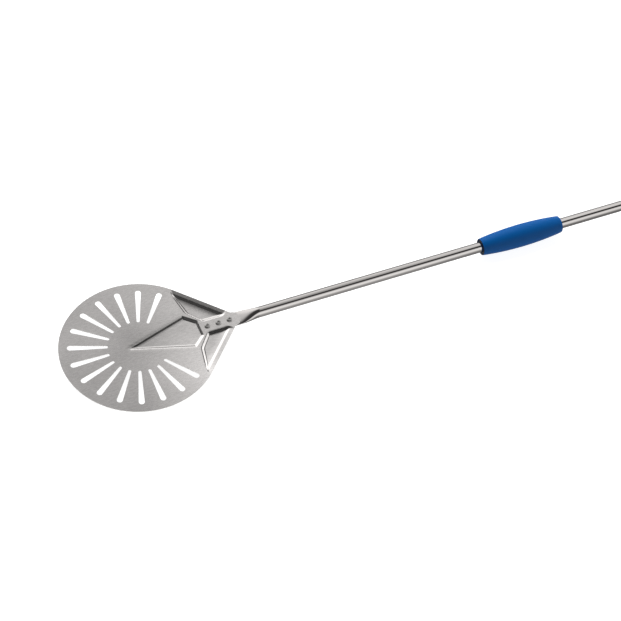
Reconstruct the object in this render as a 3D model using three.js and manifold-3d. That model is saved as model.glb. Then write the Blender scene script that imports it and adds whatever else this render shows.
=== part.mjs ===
// Turning peel for a wood-fired oven: a round slotted steel blade riveted to a long steel tube,
// with a barrel grip that slides and spins on the tube and a fixed grip at the far end.
// Millimetres, +Z up, +X from the blade towards the hand.
// The origin is the centre of the round blade, in the plane of its flat top face.

import * as THREE from 'three';
import { mergeVertices } from 'three/addons/utils/BufferGeometryUtils.js';
import Module from 'manifold-3d';

const wasm = await Module();
wasm.setup();

// ---- driving dimensions ----

const GAP = 0.3;                    // clearance between pieces that touch

const SHEET = 1.0;                  // blade sheet thickness
const DISC_R = 100;                 // radius of the round blade
const SHOULDER_ANGLE = 43.3;        // degrees from +X at which the straight shoulder leaves the disc
const TAIL_R = 10.5;                // rounded tail that covers the flattened tube
const TAIL_X = 126.5;               // centre of the tail's radius

const SLOT_COUNT = 15;
const SLOT_PITCH = 18.24;           // degrees
const SLOT_NEAR_X = 38;             // where a slot starts, from the disc centre
const SLOT_FAR_X = 89;              // where it ends
const SLOT_NEAR_R = 1.95;           // end radius at the start
const SLOT_FAR_R = 3.75;            // end radius at the rim

const KITE_DEPTH = 1.8;             // kite-shaped recess in the middle of the blade
const KITE_TIP_X = -9.5;
const KITE_WIDE = [68.2, 23.6];     // widest corner, on the middle of the recess's wall
const KITE_REAR = [82.0, 11.2];     // rear corner, on the middle of the wall
const KITE_WALL = 2.4;              // plan width of the wall

const PAN_DEPTH = 2.6;              // recesses on both sides of the rivets
const PAN_WALL = 2.2;               // plan width of their inner walls
const PAN_APEX = [68.3, 62.0];      // corners, on the rim
const PAN_KNEE = [74.1, 29.0];
const PAN_LAND_X = 89.3;            // where the rim meets the land that carries the rivets
const PAN_LAND_END_X = 116;
const LAND_HALF = 10;               // half width of the land
const LAND_WALL = 2.4;              // plan width of the wall beside the land
const FLANGE_LENGTH = 71;           // along the straight shoulder, from the disc
const FLANGE_LIP = 5;               // gently sloping lip, measured in from the shoulder
const FLANGE_LIP_DEPTH = 0.7;
const FLANGE_FOOT = 9.5;            // foot of the steeper slope inside the lip

const RIVET_X = [92.5, 107.5, 122.5];
const RIVET_SHANK_R = 2.0;
const RIVET_HEAD_R = 4.0;
const RIVET_HEAD_H = 1.3;
const RIVET_BORE_R = 1.5;           // hole left in the head by the pulled-off pin
const RIVET_BORE_DEPTH = 1.6;
const RIVET_SET_R = 3.0;            // set head, under the tube
const RIVET_SET_H = 2.0;

const TUBE_R = 7.0;
const TUBE_WALL = 1.0;
const TUBE_START_X = 85.5;
const TUBE_END_X = 1256;
const FLAT_HALF_WIDTH = 10.3;       // pressed front end of the tube
const FLAT_HALF_HEIGHT = 1.3;
const FLAT_END_X = 136;             // where the pressed end starts to open out
const ROUND_START_X = 164;          // where the tube is fully round
const FLAT_SQUARENESS = 3.5;        // superellipse power of the pressed end; 2 is an ellipse
const TUBE_Z = -SHEET - GAP - FLAT_HALF_HEIGHT;

const GRIP_START_X = 478.8;         // sliding grip at rest
const GRIP_LENGTH = 117.6;
const GRIP_END_R = 11.3;
const GRIP_MID_R = 15.1;
const GRIP_BORE_R = 9.7;
const GRIP_EDGE = 1.0;              // rounding of the grip's end rims

const BUSH_LENGTH = 12;
const BUSH_RECESS = 1.2;            // bush face below the rim of the grip
const BUSH_CHAMFER = 0.6;

const END_GRIP_START_X = 1150;
const END_GRIP_LENGTH = 128;        // turned part, before the hanging tab
const END_GRIP_END_R = 11.3;
const END_GRIP_MID_R = 14.8;
const END_GRIP_CAP = 5.5;           // domed end of the turned part
const TAB_START_X = 1264;
const TAB_END_X = 1300;
const TAB_ROOT_HALF_WIDTH = 8.4;
const TAB_HALF_WIDTH = 10.5;
const TAB_HALF_HEIGHT = 4;
const TAB_BEVEL = 1;
const HANG_HOLE_R = 5;

// ---- materials ----

const steelSheet = () => new THREE.MeshStandardMaterial({ color: 0xb4b2b0, metalness: 1, roughness: 0.42 });
const steelTube = () => new THREE.MeshStandardMaterial({ color: 0xc4c0bd, metalness: 1, roughness: 0.16 });
const steelRivet = () => new THREE.MeshStandardMaterial({ color: 0xbdbbb8, metalness: 1, roughness: 0.22 });
const bluePolymer = () => new THREE.MeshStandardMaterial({ color: 0x0f4680, metalness: 0, roughness: 0.38 });
const blackPolymer = () => new THREE.MeshStandardMaterial({ color: 0x0c0e12, metalness: 0, roughness: 0.55 });

// ---- helpers ----

const radians = THREE.MathUtils.degToRad;

/** A closed solid for joining and cutting, from any closed geometry. */
function solidOf(geometry) {
  const bare = geometry.clone();
  bare.deleteAttribute('normal');
  bare.deleteAttribute('uv');
  const merged = mergeVertices(bare.index ? bare.toNonIndexed() : bare, 1e-4);
  return new wasm.Manifold(new wasm.Mesh({
    numProp: 3,
    vertProperties: new Float32Array(merged.attributes.position.array),
    triVerts: new Uint32Array(merged.index.array),
  }));
}

/** The geometry of a joined or cut solid. */
function geometryOf(solid) {
  const mesh = solid.getMesh();
  const geometry = new THREE.BufferGeometry();
  geometry.setAttribute('position', new THREE.BufferAttribute(mesh.vertProperties, 3));
  geometry.setIndex(new THREE.BufferAttribute(mesh.triVerts, 1));
  return geometry;
}

function namedMesh(name, geometry, material) {
  const mesh = new THREE.Mesh(geometry, material);
  mesh.name = name;
  return mesh;
}

/** Points on an arc about (cx, cy), both ends included. Angles in radians. */
function arcPoints(cx, cy, radius, from, to, steps) {
  const points = [];
  for (let i = 0; i <= steps; i++) {
    const a = from + ((to - from) * i) / steps;
    points.push(new THREE.Vector2(cx + radius * Math.cos(a), cy + radius * Math.sin(a)));
  }
  return points;
}

/** The line along one side of an anticlockwise outline, moved inwards by a distance. */
function insetSide(start, end, distance) {
  const along = end.clone().sub(start).normalize();
  const inward = new THREE.Vector2(-along.y, along.x);
  return { start: start.clone().addScaledVector(inward, distance), along };
}

/** The point where two lines cross. */
function crossing(one, other) {
  const between = other.start.clone().sub(one.start);
  const reach = between.cross(other.along) / one.along.cross(other.along);
  return one.start.clone().addScaledVector(one.along, reach);
}

/** A convex anticlockwise polygon with every side moved inwards by a distance. */
function insetPolygon(points, distance) {
  const count = points.length;
  const sides = points.map((start, i) => insetSide(start, points[(i + 1) % count], distance));
  return sides.map((side, i) => crossing(sides[(i + count - 1) % count], side));
}

/** Profile of a dome from its foot (radius, 0) up to an inner radius, as [radius, height] pairs. */
function dome(radius, height, innerRadius, steps) {
  return arcPoints(0, 0, 1, 0, Math.acos(innerRadius / radius), steps)
    .map((p) => [radius * p.x, height * p.y]);
}

/** Mirrored copy of points in the XZ plane, reversed so that they still run the same way round. */
const mirrored = (points) => points.map((p) => (p.isVector3
  ? new THREE.Vector3(p.x, -p.y, p.z)
  : new THREE.Vector2(p.x, -p.y))).reverse();

const atHeight = (points, z) => points.map((p) => new THREE.Vector3(p.x, p.y, z));

/**
 * A pressed sheet of even thickness. Each patch is a piece of the top face: an anticlockwise
 * outline of 3-D points and, optionally, holes. Neighbouring patches share their corners.
 */
function pressedSheet(patches, thickness) {
  const top = [];
  const lookup = new Map();
  const indexOf = (p) => {
    const key = `${p.x.toFixed(4)},${p.y.toFixed(4)},${p.z.toFixed(4)}`;
    if (!lookup.has(key)) {
      lookup.set(key, top.length);
      top.push(p);
    }
    return lookup.get(key);
  };

  const faces = [];
  for (const { outline, holes = [] } of patches) {
    const corners = [outline, ...holes].flat().map(indexOf);
    for (const [a, b, c] of THREE.ShapeUtils.triangulateShape(outline, holes)) {
      const face = [corners[a], corners[b], corners[c]];
      const [p, q, r] = face.map((i) => top[i]);
      const turn = (q.x - p.x) * (r.y - p.y) - (q.y - p.y) * (r.x - p.x);
      faces.push(turn > 0 ? face : face.reverse());
    }
  }

  const below = top.length;
  const edges = new Set(faces.flatMap(([a, b, c]) => [`${a},${b}`, `${b},${c}`, `${c},${a}`]));
  const index = [];
  for (const [a, b, c] of faces) index.push(a, b, c, c + below, b + below, a + below);
  for (const edge of edges) {
    const [a, b] = edge.split(',').map(Number);
    if (!edges.has(`${b},${a}`)) index.push(b, a, a + below, b, a + below, b + below);
  }

  const positions = top.flatMap((p) => [p.x, p.y, p.z]);
  for (const p of top) positions.push(p.x, p.y, p.z - thickness);
  const geometry = new THREE.BufferGeometry();
  geometry.setAttribute('position', new THREE.Float32BufferAttribute(positions, 3));
  geometry.setIndex(index);
  return geometry;
}

/** A solid through a chain of closed rings with the same number of points, capped at both ends. */
function loft(rings) {
  const sides = rings[0].length;
  const positions = rings.flat().flatMap((p) => [p.x, p.y, p.z]);
  const index = [];
  for (let r = 0; r + 1 < rings.length; r++) {
    for (let i = 0; i < sides; i++) {
      const a = r * sides + i;
      const b = r * sides + ((i + 1) % sides);
      index.push(a, b, a + sides, b, b + sides, a + sides);
    }
  }
  const last = (rings.length - 1) * sides;
  for (let i = 1; i + 1 < sides; i++) {
    index.push(0, i + 1, i);
    index.push(last, last + i, last + i + 1);
  }
  const geometry = new THREE.BufferGeometry();
  geometry.setAttribute('position', new THREE.Float32BufferAttribute(positions, 3));
  geometry.setIndex(index);
  return geometry;
}

/** A piece turned about the tube's axis. Profile points are (radius, distance along +X). */
function turnedAlongX(profile, sides) {
  const geometry = new THREE.LatheGeometry(profile, sides);
  geometry.rotateZ(-Math.PI / 2);
  return geometry;
}

/** Upright round cutter for a hole. */
function uprightCutter(radius, x, z, height, sides) {
  const geometry = new THREE.CylinderGeometry(radius, radius, height, sides);
  geometry.rotateX(Math.PI / 2);
  geometry.translate(x, 0, z);
  return solidOf(geometry);
}

// ---- blade ----

/** A point given by its distance along the straight shoulder and in from it. */
function shoulderPoint(along, inward) {
  const a = radians(SHOULDER_ANGLE);
  const reach = DISC_R - inward;
  return new THREE.Vector2(
    reach * Math.cos(a) + along * Math.sin(a),
    reach * Math.sin(a) - along * Math.cos(a),
  );
}

/** Angle on the tail's circle at which the straight shoulder runs into it. */
function tailAngle() {
  const a = radians(SHOULDER_ANGLE);
  const offset = DISC_R - TAIL_X * Math.cos(a);
  return a + Math.acos(offset / TAIL_R);
}

/** A tapered slot with round ends, anticlockwise, along a direction in degrees. */
function slotOutline(direction) {
  const near = SLOT_NEAR_X + SLOT_NEAR_R;
  const far = SLOT_FAR_X - SLOT_FAR_R;
  const tangent = Math.acos((SLOT_FAR_R - SLOT_NEAR_R) / (far - near));
  const flank = Math.PI - tangent;
  const outline = [
    ...arcPoints(far, 0, SLOT_FAR_R, -flank, flank, 8),
    ...arcPoints(near, 0, SLOT_NEAR_R, flank, 2 * Math.PI - flank, 4),
  ];
  const centre = new THREE.Vector2();
  return outline.map((p) => p.rotateAround(centre, radians(direction)));
}

function kiteWallMiddle() {
  const [wideX, wideY] = KITE_WIDE;
  const [rearX, rearY] = KITE_REAR;
  return [
    new THREE.Vector2(KITE_TIP_X, 0),
    new THREE.Vector2(wideX, -wideY),
    new THREE.Vector2(rearX, -rearY),
    new THREE.Vector2(rearX, rearY),
    new THREE.Vector2(wideX, wideY),
  ];
}

/** One wall patch between each side of a rim outline and the same side of a floor outline. */
function wallPatches(rim, floor) {
  return rim.map((start, i) => {
    const next = (i + 1) % rim.length;
    return { outline: [start, rim[next], floor[next], floor[i]] };
  });
}

/** The recess beside the rivets, on the +Y side: its rim and its patches. */
function sidePan() {
  const rim = [
    new THREE.Vector2(...PAN_APEX),
    new THREE.Vector2(...PAN_KNEE),
    new THREE.Vector2(PAN_LAND_X, LAND_HALF),
    new THREE.Vector2(PAN_LAND_END_X, LAND_HALF),
    shoulderPoint(FLANGE_LENGTH, 0),
    shoulderPoint(0, 0),
  ];
  const insets = [PAN_WALL, PAN_WALL, LAND_WALL, PAN_WALL, FLANGE_FOOT, PAN_WALL];
  const [step, diagonal, land, end, flange, start] = rim.map(
    (corner, i) => insetSide(corner, rim[(i + 1) % rim.length], insets[i]));
  const lip = insetSide(shoulderPoint(FLANGE_LENGTH, 0), shoulderPoint(0, 0), FLANGE_LIP);

  const floor = atHeight([crossing(flange, step), crossing(step, diagonal),
    crossing(diagonal, land), crossing(land, flange)], -PAN_DEPTH);
  const bend = atHeight([crossing(end, lip), crossing(lip, start)], -FLANGE_LIP_DEPTH);
  const edge = atHeight(rim, 0);
  const [apex, knee, landStart, landEnd, shoulderEnd, shoulderStart] = edge;
  const [apexFloor, kneeFloor, landFloor, endFloor] = floor;
  const [bendEnd, bendStart] = bend;
  const patches = [
    { outline: [apex, knee, kneeFloor, apexFloor] },
    { outline: [knee, landStart, landFloor, kneeFloor] },
    { outline: [landStart, landEnd, endFloor, landFloor] },
    { outline: [landEnd, shoulderEnd, bendEnd, endFloor] },
    { outline: [endFloor, bendEnd, bendStart, apexFloor] },
    { outline: [bendEnd, shoulderEnd, shoulderStart, bendStart] },
    { outline: [shoulderStart, apex, apexFloor, bendStart] },
    { outline: floor },
  ];
  return { rim: edge, patches };
}

function bladeGeometry() {
  const shoulder = radians(SHOULDER_ANGLE);
  const tail = tailAngle();
  const disc = arcPoints(0, 0, DISC_R, shoulder, 2 * Math.PI - shoulder, 96);
  const tailEnd = arcPoints(TAIL_X, 0, TAIL_R, -tail, tail, 16);
  const pan = sidePan();
  const innerRim = pan.rim.slice(0, 5);
  const outline = atHeight([...disc, ...mirrored(innerRim).reverse(), ...tailEnd,
    ...innerRim.slice().reverse()], 0);

  const slots = [];
  for (let i = 0; i < SLOT_COUNT; i++) {
    slots.push(atHeight(slotOutline(180 + (i - (SLOT_COUNT - 1) / 2) * SLOT_PITCH), 0));
  }
  const rivetHoles = RIVET_X.map((x) => atHeight(
    arcPoints(x, 0, RIVET_SHANK_R + GAP, 0, 2 * Math.PI, 16).slice(0, -1), 0));
  const middle = kiteWallMiddle();
  const kiteRim = atHeight(insetPolygon(middle, -KITE_WALL / 2), 0);
  const kiteFloor = atHeight(insetPolygon(middle, KITE_WALL / 2), -KITE_DEPTH);

  const patches = [
    { outline, holes: [...slots, ...rivetHoles, kiteRim] },
    { outline: kiteFloor },
    ...wallPatches(kiteRim, kiteFloor),
    ...pan.patches,
    ...pan.patches.map((patch) => ({ outline: mirrored(patch.outline) })),
  ];
  return pressedSheet(patches, SHEET);
}

// ---- tube ----

const TUBE_SIDES = 32;

/** Cross-section of the tube: a superellipse that runs from a flat pressed end to a circle. */
function tubeRing(x, halfWidth, halfHeight, squareness) {
  const ring = [];
  for (let i = 0; i < TUBE_SIDES; i++) {
    const a = (2 * Math.PI * i) / TUBE_SIDES;
    const c = Math.cos(a);
    const s = Math.sin(a);
    ring.push(new THREE.Vector3(
      x,
      halfWidth * Math.sign(c) * Math.abs(c) ** (2 / squareness),
      TUBE_Z + halfHeight * Math.sign(s) * Math.abs(s) ** (2 / squareness),
    ));
  }
  return ring;
}

/** Half width, half height and squareness at a distance from the blade. */
function tubeSection(x) {
  const roundness = THREE.MathUtils.smoothstep(x, FLAT_END_X, ROUND_START_X);
  const halfHeight = THREE.MathUtils.lerp(FLAT_HALF_HEIGHT, TUBE_R, roundness);
  const halfWidth = THREE.MathUtils.lerp(FLAT_HALF_WIDTH, TUBE_R, roundness);
  const squareness = THREE.MathUtils.lerp(FLAT_SQUARENESS, 2, Math.sqrt(roundness));
  return { halfWidth, halfHeight, squareness };
}

function tubeGeometry() {
  const ringAt = (x, wall) => {
    const { halfWidth, halfHeight, squareness } = tubeSection(x);
    return tubeRing(x, halfWidth - wall, halfHeight - wall, squareness);
  };
  const steps = 8;
  const neck = (from) => Array.from({ length: steps + 1 },
    (_, i) => from + ((ROUND_START_X - from) * i) / steps);
  const boreStart = FLAT_END_X + (ROUND_START_X - FLAT_END_X) / 3;
  const outside = [TUBE_START_X, ...neck(FLAT_END_X), TUBE_END_X].map((x) => ringAt(x, 0));
  const inside = [TUBE_END_X, ...neck(boreStart).reverse()].map((x) => ringAt(x, TUBE_WALL));
  let tube = solidOf(loft([...outside, ...inside]));
  for (const x of RIVET_X) {
    tube = tube.subtract(uprightCutter(RIVET_SHANK_R + GAP, x, TUBE_Z, 4 * FLAT_HALF_HEIGHT, 16));
  }
  return geometryOf(tube);
}

// ---- rivets ----

/** A blind rivet: domed head with a bore on the blade, set head under the pressed tube. */
function rivetGeometry() {
  const headBase = GAP;
  const headTop = headBase + RIVET_HEAD_H;
  const setTop = TUBE_Z - FLAT_HALF_HEIGHT - GAP;
  const head = dome(RIVET_HEAD_R, RIVET_HEAD_H, RIVET_BORE_R, 4);
  const setHead = dome(RIVET_SET_R, RIVET_SET_H, 0, 4).reverse();
  const profile = [
    ...setHead.map(([radius, height]) => [radius, setTop - height]),
    [RIVET_SHANK_R, setTop],
    [RIVET_SHANK_R, headBase],
    ...head.map(([radius, height]) => [radius, headBase + height]),
    [RIVET_BORE_R, headTop - RIVET_BORE_DEPTH],
    [0, headTop - RIVET_BORE_DEPTH],
  ].map(([radius, z]) => new THREE.Vector2(radius, z));
  const geometry = new THREE.LatheGeometry(profile, 20);
  geometry.rotateX(Math.PI / 2);
  return geometry;
}

function rivetMesh(x, number) {
  const mesh = namedMesh(`rivet_${number}`, rivetGeometry(), steelRivet());
  mesh.position.x = x;
  return mesh;
}

// ---- sliding grip ----

/** Outer barrel curve of a grip: radius at a share of its length. */
const barrelRadius = (share, endR, midR) => midR - (midR - endR) * (2 * share - 1) ** 2;

function slidingGripGeometry() {
  const steps = 12;
  const outer = [];
  for (let i = 0; i <= steps; i++) {
    const along = GRIP_EDGE + ((GRIP_LENGTH - 2 * GRIP_EDGE) * i) / steps;
    outer.push([barrelRadius(along / GRIP_LENGTH, GRIP_END_R, GRIP_MID_R), along]);
  }
  const rim = GRIP_END_R - GRIP_EDGE;
  const profile = [
    [GRIP_BORE_R, 0],
    [rim, 0],
    ...outer,
    [rim, GRIP_LENGTH],
    [GRIP_BORE_R, GRIP_LENGTH],
    [GRIP_BORE_R, 0],
  ].map(([radius, along]) => new THREE.Vector2(radius, along));
  return turnedAlongX(profile, 40);
}

function bushGeometry() {
  const outer = GRIP_BORE_R - GAP;
  const inner = TUBE_R + GAP;
  const profile = [
    [inner, BUSH_CHAMFER],
    [inner + BUSH_CHAMFER, 0],
    [outer - BUSH_CHAMFER, 0],
    [outer, BUSH_CHAMFER],
    [outer, BUSH_LENGTH - BUSH_CHAMFER],
    [outer - BUSH_CHAMFER, BUSH_LENGTH],
    [inner + BUSH_CHAMFER, BUSH_LENGTH],
    [inner, BUSH_LENGTH - BUSH_CHAMFER],
    [inner, BUSH_CHAMFER],
  ].map(([radius, along]) => new THREE.Vector2(radius, along));
  return turnedAlongX(profile, 32);
}

// ---- end grip ----

/** Fixed grip at the hand end: a turned barrel that closes over the tube, then a hanging tab. */
function endGripGeometry() {
  const steps = 12;
  const outer = [];
  for (let i = 0; i <= steps; i++) {
    const along = GRIP_EDGE + ((END_GRIP_LENGTH - 2 * GRIP_EDGE) * i) / steps;
    outer.push([barrelRadius(along / END_GRIP_LENGTH, END_GRIP_END_R, END_GRIP_MID_R), along]);
  }
  const boreR = TUBE_R + GAP;
  const boreDepth = TUBE_END_X - END_GRIP_START_X + GAP;
  const profile = [
    [0, boreDepth],
    [boreR, boreDepth],
    [boreR, 0],
    [END_GRIP_END_R - GRIP_EDGE, 0],
    ...outer,
    ...dome(END_GRIP_END_R, END_GRIP_CAP, 0, 4)
      .map(([radius, height]) => [radius, END_GRIP_LENGTH + height]),
  ].map(([radius, along]) => new THREE.Vector2(radius, along));
  const barrel = turnedAlongX(profile, 40);
  barrel.translate(END_GRIP_START_X, 0, TUBE_Z);

  const tabCentre = TAB_END_X - TAB_HALF_WIDTH;
  const outline = [
    new THREE.Vector2(TAB_START_X, -TAB_ROOT_HALF_WIDTH),
    ...arcPoints(tabCentre, 0, TAB_HALF_WIDTH, -Math.PI / 2, Math.PI / 2, 16),
    new THREE.Vector2(TAB_START_X, TAB_ROOT_HALF_WIDTH),
  ];
  const tab = new THREE.ExtrudeGeometry(new THREE.Shape(outline), {
    depth: 2 * (TAB_HALF_HEIGHT - TAB_BEVEL),
    bevelThickness: TAB_BEVEL,
    bevelSize: TAB_BEVEL,
    bevelOffset: -TAB_BEVEL,
    bevelSegments: 2,
    steps: 1,
  });
  tab.translate(0, 0, TUBE_Z - TAB_HALF_HEIGHT + TAB_BEVEL);
  const hole = uprightCutter(HANG_HOLE_R, tabCentre, TUBE_Z, 4 * TAB_HALF_HEIGHT, 32);
  return geometryOf(solidOf(barrel).add(solidOf(tab)).subtract(hole));
}

// ---- assembly ----

function bladeAssembly() {
  const group = new THREE.Group();
  group.add(namedMesh('blade', bladeGeometry(), steelSheet()));
  RIVET_X.forEach((x, i) => group.add(rivetMesh(x, i + 1)));
  return group;
}

function handleAssembly() {
  const group = new THREE.Group();
  group.add(namedMesh('handle_tube', tubeGeometry(), steelTube()));
  group.add(namedMesh('end_grip', endGripGeometry(), bluePolymer()));
  return group;
}

function slidingGripAssembly() {
  const group = new THREE.Group();
  group.position.set(GRIP_START_X, 0, TUBE_Z);
  group.add(namedMesh('sliding_grip', slidingGripGeometry(), bluePolymer()));
  const frontBush = namedMesh('front_bush', bushGeometry(), blackPolymer());
  frontBush.position.x = BUSH_RECESS;
  group.add(frontBush);
  const rearBush = namedMesh('rear_bush', bushGeometry(), blackPolymer());
  rearBush.position.x = GRIP_LENGTH - BUSH_RECESS - BUSH_LENGTH;
  group.add(rearBush);
  return group;
}

const peel = new THREE.Group();
peel.name = 'turning_peel';
peel.add(bladeAssembly(), handleAssembly(), slidingGripAssembly());

export default peel;
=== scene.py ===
"""Looks of a turning peel: slotted steel blade, riveted tube, sliding blue grip and end grip.

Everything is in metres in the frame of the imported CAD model: +X runs from the blade to the hand,
+Z is up, and the origin is the centre of the round blade in the plane of its top face.
"""

import math
from collections import Counter

import bmesh
import bpy
import numpy as np
from mathutils import Matrix, Vector
from mathutils.geometry import delaunay_2d_cdt


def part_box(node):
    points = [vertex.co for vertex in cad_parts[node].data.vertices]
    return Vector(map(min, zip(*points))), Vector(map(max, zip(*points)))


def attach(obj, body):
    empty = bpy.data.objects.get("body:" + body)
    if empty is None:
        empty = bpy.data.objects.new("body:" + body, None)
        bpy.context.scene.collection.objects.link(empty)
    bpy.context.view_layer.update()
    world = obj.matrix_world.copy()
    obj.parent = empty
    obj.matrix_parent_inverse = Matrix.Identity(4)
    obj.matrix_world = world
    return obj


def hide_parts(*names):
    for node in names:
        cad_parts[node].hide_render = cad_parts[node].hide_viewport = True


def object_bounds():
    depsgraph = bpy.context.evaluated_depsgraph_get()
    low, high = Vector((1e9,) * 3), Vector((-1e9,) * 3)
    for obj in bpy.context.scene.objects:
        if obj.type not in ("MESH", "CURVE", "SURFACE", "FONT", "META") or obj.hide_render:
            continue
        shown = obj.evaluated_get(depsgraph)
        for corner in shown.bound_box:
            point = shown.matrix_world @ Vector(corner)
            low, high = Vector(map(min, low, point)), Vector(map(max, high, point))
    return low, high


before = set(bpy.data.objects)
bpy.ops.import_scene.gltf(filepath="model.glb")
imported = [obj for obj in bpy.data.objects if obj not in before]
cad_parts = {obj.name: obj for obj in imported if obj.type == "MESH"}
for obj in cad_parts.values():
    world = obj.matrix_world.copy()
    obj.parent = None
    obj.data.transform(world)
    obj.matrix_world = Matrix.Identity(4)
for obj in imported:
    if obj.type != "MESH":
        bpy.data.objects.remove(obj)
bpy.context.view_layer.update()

MM = 0.001
SAME_POINT = 1e-7                                   # points nearer than this are one point
UPRIGHT = Matrix.Rotation(-math.pi / 2, 4, "Y")     # stands a piece made along X on end, along Z

# ---- sizes ----

_, blade_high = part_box("blade")
tube_low, tube_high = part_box("handle_tube")

SHEET = 1.0 * MM                        # sheet thickness
DISC_R = blade_high.y
SHOULDER_ANGLE = math.radians(43.3)     # where the straight shoulder leaves the disc
TAIL_R = 10.5 * MM
TAIL_X = blade_high.x - TAIL_R

SLOT_COUNT = 15
SLOT_PITCH = math.radians(18.24)
SLOT_NEAR_X = 38 * MM
SLOT_FAR_X = 89 * MM
SLOT_NEAR_R = 1.95 * MM
SLOT_FAR_R = 3.75 * MM

KITE_DEPTH = 1.8 * MM                   # kite-shaped dent in the middle of the blade
KITE_TIP_X = -9.5 * MM
KITE_WIDE = (68.2 * MM, 23.6 * MM)      # corners, on the middle of the dent's wall
KITE_REAR = (82.0 * MM, 11.2 * MM)
# Widths of the kite's walls, side by side in the order of its outline.
KITE_WALLS = (5.9 * MM, 4.6 * MM, 4.4 * MM, 4.6 * MM, 5.9 * MM)
KITE_CORNER = 0.2                       # rounding between walls, as a share of the way down
KITE_MARGIN = 4 * MM                    # the fine part of the mesh reaches this far past the wall

PAN_DEPTH = 2.7 * MM                    # dents on both sides of the rivets
PAN_APEX = (69.4 * MM, 62.2 * MM)       # corners, on the middle of the dent's wall
PAN_KNEE = (75.1 * MM, 29.5 * MM)
PAN_LAND_X = 89.8 * MM
PAN_END_X = 116 * MM
LAND_HALF = 11.2 * MM
# Widths of the pan's walls, side by side in the order of its outline. The side on the
# shoulder has no wall.
PAN_WALLS = (4.2 * MM, 4.0 * MM, 6.6 * MM, 8 * MM, None, 11 * MM)
PAN_CORNER = 0.4                        # rounding between walls, as a share of the way down
PAN_MARGIN = 5 * MM                     # the fine part of the mesh reaches this far past the wall
FLANGE_SIDE = 4                         # the pan's side on the shoulder
FLANGE_LENGTH = 71 * MM
FLANGE_MEETS_WALL = 0.5 * MM            # rounding between the flange and the pan's walls
# Slope of the sheet down from the shoulder's edge, by distance in from the edge in mm.
FLANGE_SLOPES = (
    (0, 0.12), (4.8, 0.13), (6.4, 0.45), (7.6, 0.44),
    (8.9, 0.14), (12, 0.095), (15, 0.055), (21, 0),
)

RIVET_HOLE_R = 2.3 * MM

TUBE_Z = (tube_low.z + tube_high.z) / 2
TUBE_R = (tube_high.z - tube_low.z) / 2
TUBE_WALL = 1.0 * MM
FLAT_HALF_WIDTH = 10.3 * MM
FLAT_HALF_HEIGHT = 1.3 * MM
FLAT_END_X = 136 * MM                   # where the pressed end starts to open out
ROUND_START_X = 164 * MM                # where the tube is fully round
FLAT_SQUARENESS = 3.5                   # superellipse power of the pressed end; 2 is an ellipse
NECK_RISE = 0.7                         # below 1, the neck gains height before it loses width

# ---- mesh helpers ----


def mesh_piece(name, points, faces):
    """A smooth-shaded mesh object with its normals pointing out."""
    mesh = bpy.data.meshes.new(name)
    mesh.from_pydata([tuple(p) for p in points], [], faces)
    work = bmesh.new()
    work.from_mesh(mesh)
    bmesh.ops.recalc_face_normals(work, faces=work.faces)
    work.to_mesh(mesh)
    work.free()
    mesh.shade_smooth()
    piece = bpy.data.objects.new(name, mesh)
    bpy.context.scene.collection.objects.link(piece)
    return piece


def bevel_sharp_edges(piece, angle, width, segments=2):
    """Rounds every edge sharper than an angle. The faces beside it keep their own normals."""
    work = bmesh.new()
    work.from_mesh(piece.data)
    sharp = [e for e in work.edges if e.is_manifold and e.calc_face_angle() > angle]
    made = bmesh.ops.bevel(
        work,
        geom=sharp,
        offset=width,
        segments=segments,
        profile=0.5,
        affect="EDGES",
        clamp_overlap=True,
    )
    rounding = set(made["faces"])
    for face in rounding:
        for edge in face.edges:
            edge.smooth = rounding.issuperset(edge.link_faces)
    work.to_mesh(piece.data)
    work.free()


def arc(centre_x, centre_y, radius, start, end, steps):
    """Points on an arc, both ends included, as an array of (x, y)."""
    angles = np.linspace(start, end, steps + 1)
    return np.column_stack(
        [centre_x + radius * np.cos(angles), centre_y + radius * np.sin(angles)]
    )


def spaced(start, end, pitch):
    """Points along a straight line at an even pitch, both ends included."""
    start, end = np.asarray(start), np.asarray(end)
    steps = max(1, int(round(np.linalg.norm(end - start) / pitch)))
    return start + (end - start) * np.linspace(0, 1, steps + 1)[:, None]


def without_doubles(points):
    """A closed outline with repeated neighbours dropped."""
    away = np.linalg.norm(points - np.roll(points, 1, axis=0), axis=1)
    return points[away > SAME_POINT]


def inside(points, outline):
    """Which points lie inside a closed outline."""
    x, y = points[:, 0:1], points[:, 1:2]
    x0, y0 = outline[:, 0], outline[:, 1]
    x1, y1 = np.roll(x0, -1), np.roll(y0, -1)
    spans = (y0 > y) != (y1 > y)
    rise = np.where(y1 == y0, 1, y1 - y0)
    crossing = x0 + (y - y0) * (x1 - x0) / rise
    return (spans & (x < crossing)).sum(axis=1) % 2 == 1


def side_distances(points, polygon):
    """Distance inwards from each side of a convex anticlockwise polygon, one column a side."""
    polygon = np.asarray(polygon)
    along = np.roll(polygon, -1, axis=0) - polygon
    along /= np.linalg.norm(along, axis=1)[:, None]
    inward = np.column_stack([-along[:, 1], along[:, 0]])
    return np.einsum("pis,is->pi", points[:, None, :] - polygon[None], inward)


def smoothstep(value):
    value = np.clip(value, 0, 1)
    return value * value * (3 - 2 * value)


def soft_min(a, b, reach):
    """The smaller of two, with a rounded change-over."""
    near = np.clip(reach - np.abs(a - b), 0, None) / reach
    return np.minimum(a, b) - near * near * reach / 4


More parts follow.
